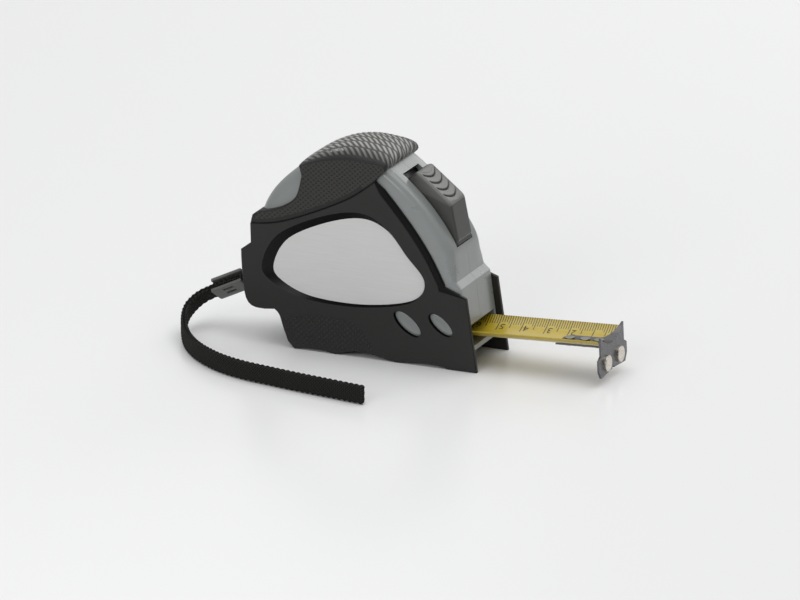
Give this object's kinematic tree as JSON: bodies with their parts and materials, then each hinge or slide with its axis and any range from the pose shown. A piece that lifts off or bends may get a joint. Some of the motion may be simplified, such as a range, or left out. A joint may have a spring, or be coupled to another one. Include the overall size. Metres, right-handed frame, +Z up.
{
  "type": "tape measure",
  "caption": "Pocket tape measure with a spring-return steel blade, sliding lock, magnetic end hook, rubber grip and wrist strap.",
  "frame": {"origin": "on the base plane that the case stands on, in the middle plane, under the reel's axis", "axes": "+X the way the blade comes out, +Z up, so the left side that carries the strap's free end is -Y"},
  "size_m": [0.178, 0.0858, 0.0849],
  "materials": {
    "case_abs": "gloss",
    "cover_abs": "satin",
    "grip_rubber": "matte",
    "label_foil": "satin",
    "bumper_rubber": "matte",
    "bright_steel": "bright",
    "reel_plastic": "matte",
    "blade_paint": "satin",
    "hook_steel": "satin",
    "magnet_nickel": "bright",
    "button_abs": "satin",
    "clip_plastic": "satin",
    "webbing": "woven"
  },
  "bodies": {
    "case": {"case_left": "case_abs", "case_right": "case_abs", "side_cover_left": "cover_abs", "side_cover_right": "cover_abs", "top_grip": "grip_rubber", "lower_grip_left": "grip_rubber", "lower_grip_right": "grip_rubber", "label_left": "label_foil", "label_right": "label_foil", "mouth_bumper": "bumper_rubber", "case_screws": "bright_steel", "centre_screw": "bright_steel", "centre_post": "bright_steel", "strap_pin": "bright_steel", "strap_clip": "clip_plastic", "wrist_strap": "webbing"},
    "reel": {"reel_drum": "reel_plastic", "spring_cover": "reel_plastic", "power_spring": "bright_steel", "blade_coil": "blade_paint"},
    "blade": {"blade": "blade_paint", "hook_rivets": "bright_steel"},
    "hook": {"hook_plate": "hook_steel", "hook_backing": "hook_steel", "hook_magnets": "magnet_nickel"},
    "lock": {"lock_button": "button_abs", "lock_slider": "cover_abs", "brake_pad": "bumper_rubber"}
  },
  "joints": [
    {"name": "reel_spin", "type": "hinge", "parent": "case", "child": "reel", "pos_m": [0, 0, 0.045], "axis": [0, -1, 0], "range_deg": [-105, 34]},
    {"name": "blade_slide", "type": "slide", "parent": "case", "child": "blade", "axis": [0.9989, 0, 0.0471], "range_m": [-0.0522, 0.017]},
    {"name": "hook_float", "type": "slide", "parent": "blade", "child": "hook", "axis": [0.9989, 0, 0.0471], "range_m": [0, 0.001]},
    {"name": "lock_slide", "type": "slide", "parent": "case", "child": "lock", "axis": [-0.6485, 0, 0.7612], "range_m": [0, 0.0024]}
  ],
  "couplings": [
    {"joint": "blade_slide", "follows": "reel_spin", "m_per_rad": 0.02814}
  ]
}
